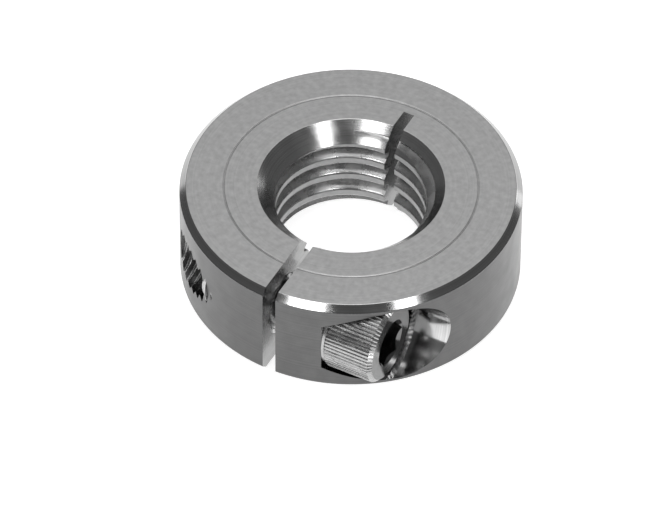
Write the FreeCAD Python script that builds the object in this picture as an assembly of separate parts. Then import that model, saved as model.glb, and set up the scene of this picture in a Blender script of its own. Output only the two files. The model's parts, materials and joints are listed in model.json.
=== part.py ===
import FreeCAD, Part
import math
import os

# One-piece clamping collar with a threaded bore, drawn closed round by one socket head cap screw.
# Frame: origin on the bore axis in the plain bottom face, +Z up the bore to the grooved face,
# +X along the cap screw towards its head, the open slot towards -Y. Millimetres.

INCH = 25.4

# Collar body, turned from bar
OUTER_DIAMETER = 1.5 * INCH
WIDTH = 0.5 * INCH
EDGE_CHAMFER = 0.75
BORE_MOUTH_DIAMETER = 20.9
FACE_GROOVE_DIAMETER = 28.25
FACE_GROOVE_WIDTH = 0.25
FACE_GROOVE_DEPTH = 0.08

# Bore thread, 3/4-10 UNC, minor diameter at the open end of its tolerance; its groove crosses the
# XZ plane on the +X side at the height BORE_THREAD_RISE, and at every pitch above and below that
BORE_THREAD_MAJOR = 0.75 * INCH
BORE_THREAD_MINOR = 16.84
BORE_THREAD_PITCH = INCH / 10
BORE_THREAD_RISE = 0.95

# Saw cuts: the slot goes right through the wall, the relief slit stops short of the outside
SLOT_WIDTH = INCH / 16
SLIT_WIDTH = 1.3
SLIT_CENTRE_X = 0.4
SLIT_END_Y = 12.98

# Clamp screw, 1/4-28 UNF x 5/8 socket head cap screw
SCREW_AXIS_Y = -13.85
SCREW_SEAT_X = 6.0
SCREW_MAJOR = 0.25 * INCH
SCREW_PITCH = INCH / 28
SCREW_LENGTH = 0.625 * INCH
HEAD_DIAMETER = 0.375 * INCH
HEAD_HEIGHT = 0.25 * INCH
HEAD_CHAMFER = 0.45
KNURL_TEETH = 68
KNURL_DEPTH = 0.2
KNURL_MARGIN = 0.45
SOCKET_ACROSS_FLATS = 0.1875 * INCH
SOCKET_DEPTH = 3.05
SOCKET_MOUTH_CHAMFER = 0.2
SOCKET_CONE_ANGLE = 60
NECK_TURNS = 1.5
POINT_CHAMFER = 0.7

# Holes that the screw sits in
POCKET_DIAMETER = 10.6
CLEARANCE_HOLE_DIAMETER = 6.8
TAP_RADIAL_CLEARANCE = 0.16
TAP_MOUTH_CHAMFER = 0.35

# 60 degree thread form, as shares of the pitch: the flat at a nut's major and a bolt's crest, the depth,
# and how far past the finished surface each groove outline reaches
FLANK_TAN = math.tan(math.radians(30))
FLAT_SHARE = 1 / 8
THREAD_DEPTH_SHARE = 0.6134
INTERNAL_OVERSHOOT = 1 / 8
EXTERNAL_OVERSHOOT = 0.06

OUTER_RADIUS = OUTER_DIAMETER / 2
MID_HEIGHT = WIDTH / 2
REACH = OUTER_DIAMETER


def vec(x, y, z):
    return FreeCAD.Vector(x, y, z)


def polygon_face(points):
    return Part.Face(Part.makePolygon([vec(*p) for p in points + points[:1]]))


def revolve_z(profile):
    """Full turn about Z of a closed outline given as (radius, height) pairs."""
    face = polygon_face([(r, 0, z) for r, z in profile])
    return face.revolve(vec(0, 0, 0), vec(0, 0, 1), 360)


def onto_screw_axis(shape):
    """Lay a shape built along +Z, from the head seat up to the head, on the screw's own axis."""
    placed = shape.copy()
    placed.rotate(vec(0, 0, 0), vec(0, 1, 0), 90)
    placed.translate(vec(SCREW_SEAT_X, SCREW_AXIS_Y, MID_HEIGHT))
    return placed


def thread_sweep(pitch, profile, start, turns):
    """Solid swept along a right-hand helix about Z by a profile of (radius, height) pairs."""
    no_taper = 0
    helix = Part.makeLongHelix(pitch, pitch * turns, profile[0][0], no_taper)
    wire = Part.makePolygon([vec(r, 0, z) for r, z in profile + profile[:1]])
    sweep = Part.Wire(helix).makePipeShell([wire], True, True)
    sweep.translate(vec(0, 0, start))
    return sweep


def internal_groove(pitch, major_radius, minor_radius):
    """Groove outline of a nut thread, widened a little past the minor radius."""
    inner = minor_radius - pitch * INTERNAL_OVERSHOOT
    half_root = pitch * FLAT_SHARE / 2
    half_mouth = half_root + (major_radius - inner) * FLANK_TAN
    return [(inner, -half_mouth), (major_radius, -half_root), (major_radius, half_root), (inner, half_mouth)]


def external_groove(pitch, major_radius):
    """Groove outline of a bolt thread, widened a little past the major radius."""
    depth = pitch * THREAD_DEPTH_SHARE
    outer = major_radius + pitch * EXTERNAL_OVERSHOOT
    half_root = pitch * (1 - FLAT_SHARE) / 2 - depth * FLANK_TAN
    half_mouth = half_root + (outer - major_radius + depth) * FLANK_TAN
    root = major_radius - depth
    return [(root, -half_root), (outer, -half_mouth), (outer, half_mouth), (root, half_root)]


def turned_blank():
    """The ring as it leaves the lathe, before threading: chamfered, bored, with the face groove."""
    minor = BORE_THREAD_MINOR / 2
    mouth = BORE_MOUTH_DIAMETER / 2
    mouth_depth = mouth - minor
    groove = FACE_GROOVE_DIAMETER / 2
    half_groove = FACE_GROOVE_WIDTH / 2
    return revolve_z([
        (mouth, 0),
        (OUTER_RADIUS - EDGE_CHAMFER, 0),
        (OUTER_RADIUS, EDGE_CHAMFER),
        (OUTER_RADIUS, WIDTH - EDGE_CHAMFER),
        (OUTER_RADIUS - EDGE_CHAMFER, WIDTH),
        (groove + half_groove, WIDTH),
        (groove, WIDTH - FACE_GROOVE_DEPTH),
        (groove - half_groove, WIDTH),
        (mouth, WIDTH),
        (minor, WIDTH - mouth_depth),
        (minor, mouth_depth),
    ])


def bore_thread():
    """The groove that the bore tap cuts, run out a turn past both faces."""
    profile = internal_groove(BORE_THREAD_PITCH, BORE_THREAD_MAJOR / 2, BORE_THREAD_MINOR / 2)
    past_faces = 2
    turns = math.ceil(WIDTH / BORE_THREAD_PITCH) + past_faces
    return thread_sweep(BORE_THREAD_PITCH, profile, BORE_THREAD_RISE - BORE_THREAD_PITCH, turns)


def saw_cuts():
    """The through slot towards -Y and the blind relief slit towards +Y."""
    slot = Part.makeBox(SLOT_WIDTH, REACH, WIDTH, vec(-SLOT_WIDTH / 2, -REACH, 0))
    slit = Part.makeBox(SLIT_WIDTH, SLIT_END_Y, WIDTH, vec(SLIT_CENTRE_X - SLIT_WIDTH / 2, 0, 0))
    return [slot, slit]


def head_pocket():
    """Counterbore for the head, open to the outside, and the clearance hole down to the slot."""
    pocket = Part.makeCylinder(POCKET_DIAMETER / 2, REACH)
    clearance = Part.makeCylinder(CLEARANCE_HOLE_DIAMETER / 2, SCREW_SEAT_X, vec(0, 0, -SCREW_SEAT_X))
    return onto_screw_axis(pocket.fuse(clearance))


def tapped_hole():
    """Threaded hole from the slot out through the far side, half a pitch out of step with the screw's
    groove so that the screw's ridge runs in it."""
    major = SCREW_MAJOR / 2 + TAP_RADIAL_CLEARANCE
    minor = major - SCREW_PITCH * THREAD_DEPTH_SHARE
    drill = Part.makeCylinder(minor, REACH, vec(0, 0, -REACH - SCREW_SEAT_X))
    slot_face = -SCREW_SEAT_X - SLOT_WIDTH / 2
    mouth = major + TAP_MOUTH_CHAMFER
    countersink = Part.makeCone(minor, mouth, mouth - minor, vec(0, 0, slot_face - mouth + minor))
    half_turn = 0.5
    turns_below_seat = math.ceil((OUTER_RADIUS + SCREW_SEAT_X) / SCREW_PITCH) + half_turn
    turns = turns_below_seat - math.floor(SCREW_SEAT_X / SCREW_PITCH)
    profile = internal_groove(SCREW_PITCH, major, minor)
    thread = thread_sweep(SCREW_PITCH, profile, -turns_below_seat * SCREW_PITCH, turns)
    return [onto_screw_axis(s) for s in (drill, countersink, thread)]


def collar_body():
    """The finished ring in one piece."""
    body = turned_blank().cut(bore_thread())
    for tool in saw_cuts() + [head_pocket()] + tapped_hole():
        body = body.cut(tool)
    return body


def half_of_collar(body, side):
    """The ring to one side (+1 or -1 along X) of the thin web at the relief slit's end."""
    corner_x = SLIT_CENTRE_X if side > 0 else SLIT_CENTRE_X - REACH
    block = Part.makeBox(REACH, 2 * REACH, 2 * REACH, vec(corner_x, -REACH, -REACH))
    return body.common(block)


def knurled_head():
    """Head blank with straight knurling between a plain foot and a chamfered rim."""
    radius = HEAD_DIAMETER / 2
    blank = revolve_z([(0, 0), (radius, 0), (radius, HEAD_HEIGHT - HEAD_CHAMFER),
                       (radius - HEAD_CHAMFER, HEAD_HEIGHT), (0, HEAD_HEIGHT)])
    ridge = []
    for i in range(KNURL_TEETH):
        for step, r in ((0, radius), (0.5, radius - KNURL_DEPTH)):
            angle = 2 * math.pi * (i + step) / KNURL_TEETH
            ridge.append((r * math.cos(angle), r * math.sin(angle), KNURL_MARGIN))
    knurl = polygon_face(ridge).extrude(vec(0, 0, HEAD_HEIGHT))
    foot = Part.makeCylinder(radius - KNURL_DEPTH, KNURL_MARGIN)
    bottom_rim = min(foot.Edges, key=lambda edge: edge.CenterOfMass.z)
    foot = foot.makeChamfer(KNURL_DEPTH, [bottom_rim])
    return blank.common(knurl.fuse(foot))


def hex_socket():
    """Key socket, the drill cone at its bottom and the lead-in chamfer round its mouth."""
    corner = SOCKET_ACROSS_FLATS / math.sqrt(3)
    floor = HEAD_HEIGHT - SOCKET_DEPTH
    corners = [math.radians(60 * i) for i in range(6)]
    outline = [(corner * math.cos(a), corner * math.sin(a), floor) for a in corners]
    prism = polygon_face(outline).extrude(vec(0, 0, SOCKET_DEPTH))
    flat_radius = SOCKET_ACROSS_FLATS / 2
    cone_depth = flat_radius / math.tan(math.radians(SOCKET_CONE_ANGLE))
    cone = Part.makeCone(0, flat_radius, cone_depth, vec(0, 0, floor - cone_depth))
    lead_in = Part.makeCone(0, corner + SOCKET_MOUTH_CHAMFER, corner + SOCKET_MOUTH_CHAMFER,
                            vec(0, 0, HEAD_HEIGHT - corner))
    return prism, cone, lead_in


def clamp_screw():
    """The cap screw, threaded to just below its head."""
    major = SCREW_MAJOR / 2
    shank = revolve_z([(0, -SCREW_LENGTH), (major - POINT_CHAMFER, -SCREW_LENGTH),
                       (major, POINT_CHAMFER - SCREW_LENGTH), (major, 0), (0, 0)])
    past_point = 1
    turns_below_seat = math.ceil(SCREW_LENGTH / SCREW_PITCH) + past_point
    profile = external_groove(SCREW_PITCH, major)
    turns = turns_below_seat - NECK_TURNS
    thread = thread_sweep(SCREW_PITCH, profile, -turns_below_seat * SCREW_PITCH, turns)
    screw = knurled_head().fuse(shank.cut(thread))
    for tool in hex_socket():
        screw = screw.cut(tool)
    return onto_screw_axis(screw)


def write(shape, node):
    solids = shape.Solids
    whole = solids[0] if len(solids) == 1 else Part.makeCompound(solids)
    whole.exportStep("parts/%s.step" % node)
    box = whole.BoundBox
    print(node, len(solids), whole.isValid(), round(whole.Volume, 3),
          [round(v, 2) for v in (box.XMin, box.YMin, box.ZMin, box.XMax, box.YMax, box.ZMax)])


os.makedirs("parts", exist_ok=True)
collar = collar_body()
write(half_of_collar(collar, -1), "collar_tapped_half")
write(half_of_collar(collar, 1), "collar_head_half")
write(clamp_screw(), "clamp_screw")
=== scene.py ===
import json
import math

import bmesh
import bpy
from mathutils import Matrix, Quaternion, Vector


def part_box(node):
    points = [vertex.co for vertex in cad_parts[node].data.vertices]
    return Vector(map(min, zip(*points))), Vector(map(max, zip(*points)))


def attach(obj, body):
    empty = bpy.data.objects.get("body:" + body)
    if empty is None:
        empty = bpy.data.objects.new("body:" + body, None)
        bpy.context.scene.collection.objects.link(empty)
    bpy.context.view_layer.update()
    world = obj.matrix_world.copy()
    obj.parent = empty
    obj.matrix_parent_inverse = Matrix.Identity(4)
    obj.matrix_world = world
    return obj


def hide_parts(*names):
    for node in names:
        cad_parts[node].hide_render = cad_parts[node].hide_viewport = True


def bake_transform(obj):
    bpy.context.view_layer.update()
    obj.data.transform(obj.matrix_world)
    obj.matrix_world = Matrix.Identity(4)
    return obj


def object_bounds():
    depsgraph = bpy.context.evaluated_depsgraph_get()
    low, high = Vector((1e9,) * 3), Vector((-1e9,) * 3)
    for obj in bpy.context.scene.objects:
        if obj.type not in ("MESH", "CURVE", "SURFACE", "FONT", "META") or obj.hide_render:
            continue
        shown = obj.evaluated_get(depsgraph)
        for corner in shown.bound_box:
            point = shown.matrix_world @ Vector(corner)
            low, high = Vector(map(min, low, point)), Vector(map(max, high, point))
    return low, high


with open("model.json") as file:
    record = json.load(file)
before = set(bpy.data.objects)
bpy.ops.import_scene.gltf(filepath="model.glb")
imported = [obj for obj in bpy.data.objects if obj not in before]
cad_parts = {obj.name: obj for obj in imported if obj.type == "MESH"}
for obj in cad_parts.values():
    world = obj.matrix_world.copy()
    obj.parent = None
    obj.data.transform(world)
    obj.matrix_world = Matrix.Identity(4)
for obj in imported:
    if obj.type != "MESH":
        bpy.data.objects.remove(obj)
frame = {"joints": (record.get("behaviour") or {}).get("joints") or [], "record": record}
cad_low, cad_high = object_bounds()
mm = 0.001


# ------------------------------------------------------------------ collar ring
# One ring turned from stainless bar: faced, bored, chamfered inside and out, and tapped 3/4-10. It is
# sawn through on one side and part way on the other, so that it bends shut at the web left there. Its
# screw sits in a counterbored pocket on one side of the slot and a tapped hole on the other.

# Points nearer than this are one point.
touching = 0.001 * mm


def revolve(bm, outline, steps, closed):
    """Spins an outline of (radius, height) pairs once about Z; an open one starts and ends on Z."""
    corners = [bm.verts.new((r, 0, z)) for r, z in outline]
    following = corners[1:] + corners[:1] if closed else corners[1:]
    sides = [bm.edges.new(pair) for pair in zip(corners, following)]
    bmesh.ops.spin(bm, geom=corners + sides, cent=(0, 0, 0), axis=(0, 0, 1), angle=math.tau,
                   steps=steps, use_merge=True)
    bmesh.ops.remove_doubles(bm, verts=bm.verts, dist=touching)
    bmesh.ops.recalc_face_normals(bm, faces=bm.faces)


def break_edges(bm, width, sharper_than, where):
    """Takes the burr off the edges that turn by more than an angle, in radians, and pass where()."""
    sharp = [e for e in bm.edges if e.is_manifold and e.calc_face_angle() > sharper_than and where(e)]
    bmesh.ops.bevel(bm, geom=sharp, offset=width, offset_type="OFFSET", segments=2, profile=0.5,
                    affect="EDGES", material=-1, clamp_overlap=True)


def object_from(bm, name, *materials):
    mesh = bpy.data.meshes.new(name)
    bm.to_mesh(mesh)
    bm.free()
    for material in materials:
        mesh.materials.append(material)
    made = bpy.data.objects.new(name, mesh)
    bpy.context.scene.collection.objects.link(made)
    return made


class Steel:
    """Stainless steel, with the tool marks that its faces were left with."""

    # Most of a noise lies between these.
    noise_low = 0.3
    noise_high = 0.7

    def __init__(self, name, shade, roughness):
        self.material = bpy.data.materials.new(name)
        self.material.use_nodes = True
        self.tree = self.material.node_tree
        self.shader = self.tree.nodes["Principled BSDF"]
        self.shader.inputs["Metallic"].default_value = 1.0
        self.shade = shade
        self.roughness = roughness

    def node(self, kind, **settings):
        made = self.tree.nodes.new("ShaderNode" + kind)
        for key, value in settings.items():
            if key in made.inputs:
                made.inputs[key].default_value = value
            else:
                setattr(made, key, value)
        return made

    def link(self, source, target):
        self.tree.links.new(source, target)

    def math(self, operation, first, second):
        made = self.node("Math", operation=operation)
        for socket, value in zip(made.inputs, (first, second)):
            if isinstance(value, (int, float)):
                socket.default_value = value
            else:
                self.link(value, socket)
        return made.outputs[0]

    def mix(self, first, second, share):
        """Two values blended, with that share of the first."""
        return self.math("ADD", self.math("MULTIPLY", first, share),
                         self.math("MULTIPLY", second, 1 - share))

    def place(self, centre=(0, 0, 0), turn=(0, 0, 0)):
        """Object coordinates moved so that Z is the line the tool went round."""
        mapping = self.node("Mapping", vector_type="TEXTURE", Location=centre, Rotation=turn)
        self.link(self.node("TexCoord").outputs["Object"], mapping.inputs["Vector"])
        return mapping.outputs["Vector"]

    def across(self, place, axis):
        """A coordinate that grows straight along one axis."""
        split = self.node("SeparateXYZ")
        self.link(place, split.inputs[0])
        return split.outputs[axis]

    def around(self, place, climb):
        """A coordinate that grows outwards, and along Z by climb: constant round each tool mark."""
        flat = self.node("CombineXYZ")
        self.link(self.across(place, "X"), flat.inputs["X"])
        self.link(self.across(place, "Y"), flat.inputs["Y"])
        length = self.node("VectorMath", operation="LENGTH")
        self.link(flat.outputs[0], length.inputs[0])
        rise = self.math("MULTIPLY", self.across(place, "Z"), climb)
        return self.math("ADD", length.outputs["Value"], rise)

    def marks(self, coordinate, spacing, detail=2.0):
        """Lines of that spacing, as a value from 0 to 1."""
        noise = self.node("TexNoise", noise_dimensions="1D", Scale=1 / spacing, Detail=detail,
                          Roughness=0.65)
        self.link(coordinate, noise.inputs["W"])
        return noise.outputs["Fac"]

    def cloud(self, place, spacing, detail=3.0):
        """Blotches of that size, as a value from 0 to 1."""
        noise = self.node("TexNoise", Scale=1 / spacing, Detail=detail)
        self.link(place, noise.inputs["Vector"])
        return noise.outputs["Fac"]

    def colour(self, value, contrast):
        """Grey that runs from a little under to a little over the steel's own shade."""
        ramp = self.node("ValToRGB")
        dark, light = ramp.color_ramp.elements
        dark.color = [self.shade * (1 - contrast)] * 3 + [1]
        light.color = [self.shade * (1 + contrast)] * 3 + [1]
        dark.position = self.noise_low
        light.position = self.noise_high
        self.link(value, ramp.inputs["Fac"])
        self.link(ramp.outputs["Color"], self.shader.inputs["Base Color"])

    def rough(self, value, variation):
        """Roughness that varies about the steel's own; only for broad blotches, or it sparkles."""
        spread = self.node("MapRange")
        spread.inputs["From Min"].default_value = self.noise_low
        spread.inputs["From Max"].default_value = self.noise_high
        spread.inputs["To Min"].default_value = self.roughness * (1 - variation)
        spread.inputs["To Max"].default_value = self.roughness * (1 + variation)
        self.link(value, spread.inputs["Value"])
        self.link(spread.outputs[0], self.shader.inputs["Roughness"])

    def relief(self, value, depth, under=None):
        """Marks that deep, laid over those of another relief."""
        bump = self.node("Bump", Strength=1.0, Distance=depth)
        self.link(value, bump.inputs["Height"])
        if under:
            self.link(under, bump.inputs["Normal"])
        return bump.outputs["Normal"]

    def finish(self, normal):
        self.link(normal, self.shader.inputs["Normal"])
        return self.material


def turned_steel():
    """Fine feed marks round the bore."""
    steel = Steel("turned_steel", shade=0.31, roughness=0.30)
    place = steel.place()
    feed = steel.marks(steel.around(place, climb=1.6), 0.26 * mm, detail=1.0)
    clouds = steel.cloud(place, 0.7 * mm, detail=4.0)
    steel.colour(steel.mix(feed, clouds, 0.22), 0.12)
    steel.rough(steel.cloud(place, 2.5 * mm, detail=1.0), 0.08)
    return steel.finish(steel.relief(feed, 0.0006 * mm, steel.relief(clouds, 0.002 * mm)))


def painted_shade_outside_steel():
    """The rim, with fine scratches round it, set darker than the faces: painted shade for the dim floor
    it mirrors.
    """
    # Painted shade: this steel is a darker copy of the faces' steel, standing in for the shaded floor
    # that the rim reflects.
    steel = Steel("painted_shade_outside_steel", shade=0.135, roughness=0.32)
    place = steel.place()
    scratches = steel.marks(steel.across(place, "Z"), 0.22 * mm)
    clouds = steel.cloud(place, 1.6 * mm, detail=4.0)
    steel.colour(steel.mix(scratches, clouds, 0.5), 0.14)
    steel.rough(steel.cloud(place, 2.5 * mm, detail=1.0), 0.1)
    return steel.finish(steel.relief(scratches, 0.0010 * mm, steel.relief(clouds, 0.003 * mm)))


def chamfered_steel(name, shade, roughness):
    """The corners, cut by a form tool: smoother and brighter than the faces beside them."""
    steel = Steel(name, shade, roughness)
    place = steel.place()
    rings = steel.marks(steel.around(place, climb=0.0), 0.15 * mm, detail=1.0)
    clouds = steel.cloud(place, 1.2 * mm, detail=4.0)
    steel.colour(rings, 0.12)
    steel.rough(steel.cloud(place, 2.0 * mm, detail=1.0), 0.2)
    return steel.finish(steel.relief(rings, 0.0006 * mm, steel.relief(clouds, 0.004 * mm)))


# The turned blank.
turn_steps = 360
radius = cad_high.y
width = cad_high.z
edge_chamfer = 0.75 * mm
bore_mount = next(m for m in frame["record"]["mounts"] if m["name"] == "threaded_bore")
minor_radius = bore_mount["dims"]["r_mm"] * mm
mouth_radius = 10.45 * mm
mouth_depth = mouth_radius - minor_radius
groove_radius = 14.125 * mm
groove_half_width = 0.125 * mm
groove_depth = 0.08 * mm
burr = 0.05 * mm

bm = bmesh.new()
revolve(bm, [
    (mouth_radius, 0), (radius - edge_chamfer, 0), (radius, edge_chamfer),
    (radius, width - edge_chamfer), (radius - edge_chamfer, width),
    (groove_radius + groove_half_width, width), (groove_radius, width - groove_depth),
    (groove_radius - groove_half_width, width), (mouth_radius, width),
    (minor_radius, width - mouth_depth), (minor_radius, mouth_depth),
], turn_steps, closed=True)
break_edges(bm, burr, sharper_than=math.radians(20),
            where=lambda edge: edge.verts[0].co.xy.length > minor_radius + burr)

blank_steels = [turned_steel(), chamfered_steel("chamfered_steel", shade=0.37, roughness=0.12),
                painted_shade_outside_steel(), chamfered_steel("bore_chamfer_steel", shade=0.42, roughness=0.2)]
FACED, CORNER, OUTSIDE, MOUTH = range(4)
for face in bm.faces:
    across = face.calc_center_median().xy.length
    sloping = 0.4 < abs(face.normal.z) < 0.9
    off_groove = abs(across - groove_radius) > groove_half_width + burr
    if across > radius - 0.2 * burr:
        face.material_index = OUTSIDE
    elif sloping and off_groove:
        face.material_index = CORNER if across > groove_radius else MOUTH
    else:
        face.material_index = FACED
ring = object_from(bm, "collar_ring", *blank_steels)


def machine(piece, tool, operation="DIFFERENCE"):
    """Cuts or joins the tool's shape, leaves the tool's finish on the new faces, puts the tool away."""
    step = piece.modifiers.new("machining", "BOOLEAN")
    step.object = tool
    step.operation = operation
    step.solver = "MANIFOLD"
    step.material_mode = "TRANSFER"
    machined = piece.evaluated_get(bpy.context.evaluated_depsgraph_get())
    result = bpy.data.meshes.new_from_object(machined)
    piece.modifiers.clear()
    piece.data = result
    bpy.data.objects.remove(tool)


def cut_hole(piece, name, material, across, low, high, segments, taper=0.0, place=Matrix()):
    """Cuts a hole along Z from low to high, widening by taper, with the tool first put in place."""
    bm = bmesh.new()
    bmesh.ops.create_cone(bm, cap_ends=True, segments=segments, radius1=across, radius2=across + taper,
                          depth=high - low, matrix=Matrix.Translation((0, 0, (low + high) / 2)))
    bm.transform(place)
    machine(piece, object_from(bm, name, material))


def cut_thread(piece, name, material, pitch, outline, start, turns, steps_per_turn, place=Matrix()):
    """Cuts an outline of (radius, height) pairs round Z as a right-hand screw, with both ends closed."""
    bm = bmesh.new()
    corners = [bm.verts.new((r, 0, z + start)) for r, z in outline]
    sides = [bm.edges.new(pair) for pair in zip(corners, corners[1:] + corners[:1])]
    bmesh.ops.spin(bm, geom=corners + sides, cent=(0, 0, 0), axis=(0, 0, 1), angle=math.tau * turns,
                   dvec=(0, 0, pitch / steps_per_turn), steps=round(turns * steps_per_turn))
    bmesh.ops.holes_fill(bm, edges=[e for e in bm.edges if e.is_boundary])
    bmesh.ops.recalc_face_normals(bm, faces=bm.faces)
    bm.transform(place)
    machine(piece, object_from(bm, name, material))


flank_slope = math.tan(math.radians(30))


def tap_outline(pitch, major, minor, rounding):
    """Outline of the groove a tap cuts: flat root, 60 degree flanks, and crests rounded over."""
    root_half = pitch / 16
    crest = root_half + (major - minor) * flank_slope
    crest_radius = rounding / flank_slope
    upper = [(major, root_half)]
    for degrees in (240, 225, 210, 190):
        turn = math.radians(degrees)
        upper.append((minor + crest_radius * (1 + math.cos(turn)),
                      crest + rounding + crest_radius * math.sin(turn)))
    upper.append((minor - rounding, upper[-1][1] + rounding / 4))
    return [(r, -z) for r, z in reversed(upper)] + upper


def tapped_steel(name, shade):
    """Cut thread, with tearing along the flanks."""
    steel = Steel(name, shade, roughness=0.27)
    place = steel.place()
    tears = steel.marks(steel.around(place, climb=1.0), 0.12 * mm, detail=3.0)
    patches = steel.cloud(place, 1.2 * mm)
    steel.colour(steel.mix(tears, patches, 0.5), 0.16)
    steel.rough(steel.cloud(place, 1.6 * mm, detail=1.0), 0.25)
    return steel.finish(steel.relief(tears, 0.002 * mm, steel.relief(patches, 0.01 * mm)))


# The tapped bore.
bore_pitch = 2.54 * mm
bore_rise = 0.95 * mm
bore_major = 9.525 * mm
cut_thread(ring, "bore_tap", tapped_steel("tapped_steel", shade=0.45), bore_pitch,
           tap_outline(bore_pitch, bore_major, minor_radius, rounding=0.2 * mm),
           start=bore_rise - bore_pitch, turns=7, steps_per_turn=144)


def sawn_steel():
    """Slitting saw: long shallow scratches from the outside in."""
    steel = Steel("sawn_steel", shade=0.38, roughness=0.24)
    place = steel.place()
    scratches = steel.marks(steel.across(place, "Z"), 0.18 * mm, detail=3.0)
    steel.colour(scratches, 0.2)
    steel.rough(steel.cloud(place, 2 * mm, detail=1.0), 0.2)
    return steel.finish(steel.relief(scratches, 0.003 * mm))


# The slot through to the outside, and the relief slit that ends at the web.
slot_half = 0.79375 * mm
slit_half = 0.65 * mm
flex = Vector(next(j["pos_m"] for j in frame["joints"] if j["name"] == "ring_flex"))
overrun = 1 * mm
bm = bmesh.new()
saw_cuts = [(0, slot_half, -radius - overrun, 0), (flex.x, slit_half, 0, flex.y)]
for centre_x, half, near, far in saw_cuts:
    block = bmesh.ops.create_cube(bm, size=1)["verts"]
    bmesh.ops.scale(bm, verts=block, vec=(2 * half, far - near, width + 2 * overrun))
    bmesh.ops.translate(bm, verts=block, vec=(centre_x, (near + far) / 2, width / 2))
machine(ring, object_from(bm, "saw", sawn_steel()))

# The holes for the screw. Its own Z is the screw's axis, from the seat of its head outwards.
screw_low, screw_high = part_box("clamp_screw")
head_height = 6.35 * mm
seat_x = screw_high.x - head_height
seat = Vector((seat_x, (screw_low.y + screw_high.y) / 2, (screw_low.z + screw_high.z) / 2))
along_x = (0, math.radians(90), 0)
to_screw = Matrix.Translation(seat) @ Matrix.Rotation(along_x[1], 4, "Y")


def milled_steel():
    """Counterbore and drilled holes: bright, with end-mill rings about the screw's axis."""
    steel = Steel("milled_steel", shade=0.58, roughness=0.15)
    place = steel.place(seat, along_x)
    rings = steel.marks(steel.around(place, climb=1.0), 0.22 * mm, detail=3.0)
    patches = steel.cloud(place, 2 * mm, detail=1.0)
    steel.colour(rings, 0.1)
    steel.rough(patches, 0.3)
    return steel.finish(steel.relief(rings, 0.0003 * mm, steel.relief(patches, 0.001 * mm)))


milled = milled_steel()
pocket_radius = 5.3 * mm
clearance_radius = 3.4 * mm
cut_hole(ring, "counterbore", milled, pocket_radius, 0, 2 * radius, segments=192, place=to_screw)
cut_hole(ring, "clearance_drill", milled, clearance_radius, -seat_x, overrun, segments=128,
         place=to_screw)

# The screw's tapped hole gets a darker copy of the tapped steel: painted shade in the hole.
painted_shade_tapped_steel = tapped_steel("tapped_hole_steel_painted_shade", shade=0.28)
screw_pitch = 25.4 / 28 * mm
screw_major = 3.175 * mm
thread_depth = 0.6134 * screw_pitch
tap_major = screw_major + 0.16 * mm
tap_minor = tap_major - thread_depth
cut_hole(ring, "tapping_drill", painted_shade_tapped_steel, tap_minor, -2 * radius, -seat_x, segments=128, place=to_screw)
cut_thread(ring, "screw_tap", painted_shade_tapped_steel, screw_pitch,
           tap_outline(screw_pitch, tap_major, tap_minor, rounding=0.05 * mm),
           start=-28.5 * screw_pitch, turns=22.5, steps_per_turn=72, place=to_screw)

slot_face = -seat_x - slot_half
countersink = 0.35 * mm
into_slot = 0.2 * mm
cut_hole(ring, "countersink", milled, tap_minor, slot_face - countersink - thread_depth,
         slot_face + into_slot, segments=128, taper=countersink + thread_depth + into_slot,
         place=to_screw)


def break_cut_edges(piece, cut, width):
    """Takes the burr off the edges that one cut left in the blank's own faces."""
    bm = bmesh.new()
    bm.from_mesh(piece.data)
    bmesh.ops.remove_doubles(bm, verts=bm.verts, dist=2 * touching)
    bmesh.ops.dissolve_limit(bm, angle_limit=math.radians(0.1), verts=bm.verts, edges=bm.edges,
                             delimit={"MATERIAL"})
    names = [material.name for material in piece.data.materials]
    cut_index = names.index(cut)
    blank = {names.index(steel.name) for steel in blank_steels}

    def is_cut(edge):
        found = {face.material_index for face in edge.link_faces}
        return cut_index in found and bool(found & blank)

    break_edges(bm, width, sharper_than=math.radians(40), where=is_cut)
    bm.to_mesh(piece.data)
    bm.free()


def shade_by_angle(piece, limit):
    """Smooth shading, but not over edges that turn by more than limit, in radians, or end a flat."""
    flat_turn = math.radians(8)
    flat_share = 12
    bm = bmesh.new()
    bm.from_mesh(piece.data)
    for face in bm.faces:
        face.smooth = True
    for edge in bm.edges:
        turn = edge.calc_face_angle(math.pi)
        areas = sorted(face.calc_area() for face in edge.link_faces)
        ends_flat = turn > flat_turn and areas[-1] > flat_share * areas[0]
        edge.smooth = turn < limit and not ends_flat
    bm.to_mesh(piece.data)
    bm.free()


smooth_limit = math.radians(28)
break_cut_edges(ring, "sawn_steel", 0.07 * mm)
shade_by_angle(ring, smooth_limit)
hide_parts("collar_tapped_half", "collar_head_half")
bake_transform(ring)


# ------------------------------------------------------------------ clamp screw
# A 1/4-28 x 5/8 socket head cap screw in stainless: cold-headed with a 3/16 hex socket, the head
# straight-knurled for the fingers, the thread rolled to just under the head and the point chamfered.

def screw_steel(name, shade, spacing, roughness):
    """Bright cold-formed stainless with die marks round the screw's own axis."""
    steel = Steel(name, shade, roughness)
    place = steel.place(seat, along_x)
    rings = steel.marks(steel.around(place, climb=0.7), spacing, detail=3.0)
    patches = steel.cloud(place, 0.9 * mm, detail=4.0)
    steel.colour(steel.mix(rings, patches, 0.5), 0.16)
    steel.rough(steel.cloud(place, 1.5 * mm, detail=1.0), 0.2)
    return steel.finish(steel.relief(rings, 0.001 * mm, steel.relief(patches, 0.006 * mm)))


knurl_steel = screw_steel("screw_knurl_steel", shade=0.46, spacing=0.1 * mm, roughness=0.26)
# The end face and the socket get dark copies of the screw's steel: painted shade, standing in for the
# dark surroundings they mirror and the shade in the socket.
painted_shade_face_steel = screw_steel("screw_face_steel", shade=0.16, spacing=0.16 * mm, roughness=0.12)
painted_shade_socket_steel = screw_steel("screw_socket_steel", shade=0.2, spacing=0.16 * mm, roughness=0.2)
thread_steel = screw_steel("screw_thread_steel", shade=0.5, spacing=0.08 * mm, roughness=0.2)

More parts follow.
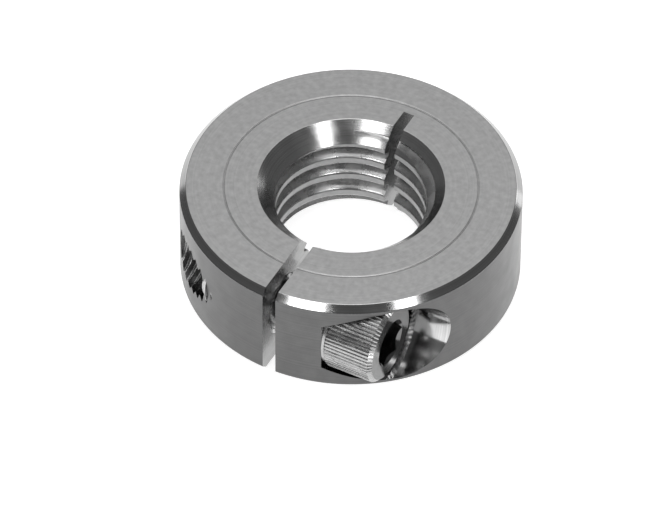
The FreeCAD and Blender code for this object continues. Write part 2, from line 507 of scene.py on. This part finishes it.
# The head, from its seat up: every third line of points round the knurl is a valley.
knurl_teeth = 68
steps_per_tooth = 3
head_steps = knurl_teeth * steps_per_tooth
head_radius = (screw_high.z - screw_low.z) / 2
head_chamfer = 0.45 * mm
knurl_depth = 0.2 * mm
knurl_margin = 0.45 * mm
foot_radius = head_radius - knurl_depth
foot_bevel = 0.15 * mm

bm = bmesh.new()
revolve(bm, [
    (0, 0), (foot_radius - foot_bevel, 0), (foot_radius, foot_bevel), (foot_radius, knurl_margin),
    (head_radius, knurl_margin + knurl_depth), (head_radius, head_height - head_chamfer),
    (head_radius - head_chamfer, head_height), (0, head_height),
], head_steps, closed=False)
valleys = [v for v in bm.verts if v.co.xy.length > head_radius - 0.01 * mm
           and round(math.atan2(v.co.y, v.co.x) * head_steps / math.tau) % steps_per_tooth == 0]
bmesh.ops.scale(bm, verts=valleys, vec=(foot_radius / head_radius, foot_radius / head_radius, 1))
for face in bm.faces:
    face.material_index = int(face.calc_center_median().z > head_height - head_chamfer / 2)
screw = object_from(bm, "clamp_screw_body", knurl_steel, painted_shade_face_steel)

# The socket: a hex punched into a drilled hole, with a coned mouth.
socket_corner = 4.7625 * mm / math.sqrt(3)
socket_flat = socket_corner * math.cos(math.radians(30))
socket_floor = head_height - 3.05 * mm
cone_depth = socket_flat / math.tan(math.radians(60))
lead_in = 0.2 * mm
cut_hole(screw, "socket_punch", painted_shade_socket_steel, socket_corner, socket_floor, head_height + overrun,
         segments=6)
cut_hole(screw, "socket_drill", painted_shade_socket_steel, 0, socket_floor - cone_depth, socket_floor + touching,
         segments=96, taper=socket_flat)
cut_hole(screw, "socket_lead_in", painted_shade_face_steel, 0, head_height - socket_corner, head_height + lead_in,
         segments=96, taper=socket_corner + lead_in)

# The shank, threaded from below its point to neck_turns short of the head.
screw_length = seat_x - screw_low.x
shank_steps = 144
point_chamfer = 0.7 * mm
bm = bmesh.new()
revolve(bm, [
    (0, -screw_length), (screw_major - point_chamfer, -screw_length),
    (screw_major, point_chamfer - screw_length), (screw_major, overrun), (0, overrun),
], shank_steps, closed=False)
shank = object_from(bm, "shank", thread_steel)

neck_turns = 1.5
turns_below = math.ceil(screw_length / screw_pitch) + 1
outer = screw_major + 0.06 * screw_pitch
root = screw_major - thread_depth
root_half = screw_pitch * 7 / 16 - thread_depth * flank_slope
mouth_half = root_half + (outer - root) * flank_slope
cut_thread(shank, "thread_die", thread_steel, screw_pitch,
           [(root, -root_half), (outer, -mouth_half), (outer, mouth_half), (root, root_half)],
           start=-turns_below * screw_pitch, turns=turns_below - neck_turns, steps_per_turn=72)
machine(screw, shank, "UNION")
screw.data.transform(to_screw)
shade_by_angle(screw, smooth_limit)
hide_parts("clamp_screw")
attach(screw, "clamp_screw")


# ------------------------------------------------------------ floor and lights
# A plain white table that glows a little, under soft studio light: a soft box either side of the
# camera, a broad one behind that the top face mirrors, and an even dim surround.

def light_table():
    """Translucent white sheet, lit faintly from below."""
    material = bpy.data.materials.new("table_paper")
    material.use_nodes = True
    shader = material.node_tree.nodes["Principled BSDF"]
    shader.inputs["Base Color"].default_value = (0.6, 0.6, 0.6, 1)
    shader.inputs["Roughness"].default_value = 0.7
    shader.inputs["Emission Color"].default_value = (1, 1, 1, 1)
    shader.inputs["Emission Strength"].default_value = 0.75
    return material


table_half = 1.5
below_ring = 0.01 * mm
bm = bmesh.new()
bmesh.ops.create_grid(bm, x_segments=1, y_segments=1, size=table_half)
bmesh.ops.translate(bm, verts=bm.verts, vec=(0, 0, -below_ring))
object_from(bm, "table", light_table())

target = Vector((0, 0, width / 2))
camera_azimuth = 27.7


def direction(azimuth, elevation):
    """Unit vector away from the collar; azimuth is in degrees round from the slot towards the head."""
    a, e = math.radians(azimuth), math.radians(elevation)
    return Vector((math.sin(a) * math.cos(e), -math.cos(a) * math.cos(e), math.sin(e)))


def soft_box(name, swing, elevation, distance, size, brightness):
    """An area light facing the collar, swung round from the camera; brightness is its radiance."""
    light = bpy.data.lights.new(name, "AREA")
    light.shape = "RECTANGLE"
    light.size, light.size_y = size
    light.energy = brightness * math.pi * size[0] * size[1]
    box = bpy.data.objects.new(name, light)
    back = direction(camera_azimuth + swing, elevation)
    box.location = target + back * distance
    box.rotation_mode = "QUATERNION"
    box.rotation_quaternion = back.to_track_quat("Z", "Y")
    bpy.context.scene.collection.objects.link(box)


soft_box("left_box", swing=-28, elevation=42, distance=0.5, size=(0.15, 0.22), brightness=7)
soft_box("right_box", swing=36.5, elevation=42, distance=0.5, size=(0.078, 0.22), brightness=8)
soft_box("back_box", swing=180, elevation=47, distance=0.6, size=(0.9, 0.6), brightness=0.85)
soft_box("top_box", swing=180, elevation=80, distance=0.6, size=(0.5, 0.5), brightness=1.2)
soft_box("overhead_strip", swing=0, elevation=78, distance=0.6, size=(0.5, 0.1), brightness=3)
soft_box("side_box", swing=135, elevation=2.5, distance=0.5, size=(0.25, 0.04), brightness=2)

world = bpy.data.worlds.new("surround")
bpy.context.scene.world = world
world.use_nodes = True
world.node_tree.nodes["Background"].inputs["Color"].default_value = (1, 1, 1, 1)
world.node_tree.nodes["Background"].inputs["Strength"].default_value = 0.15
bpy.context.scene.view_settings.view_transform = "Standard"


# ----------------------------------------------------------------------- camera
# A long lens from the front right and above, so that the ring's sides stay parallel. It leans very
# slightly, and is shifted so that the collar sits a little right of the middle and above it.

camera_elevation = 45.65
camera_distance = 0.762
camera_roll = 0.6
sensor_width = 36
focal_widths = 10.27
lens = bpy.data.cameras.new("camera")
lens.sensor_width = sensor_width
lens.lens = sensor_width * focal_widths
lens.shift_x = -0.0266
lens.shift_y = -0.0464
lens.clip_start = 0.01
lens.clip_end = 10
camera = bpy.data.objects.new("camera", lens)
back = direction(camera_azimuth, camera_elevation)
roll = Quaternion((0, 0, 1), math.radians(camera_roll))
camera.location = target + back * camera_distance
camera.rotation_mode = "QUATERNION"
camera.rotation_quaternion = back.to_track_quat("Z", "Y") @ roll
bpy.context.scene.collection.objects.link(camera)
bpy.context.scene.camera = camera
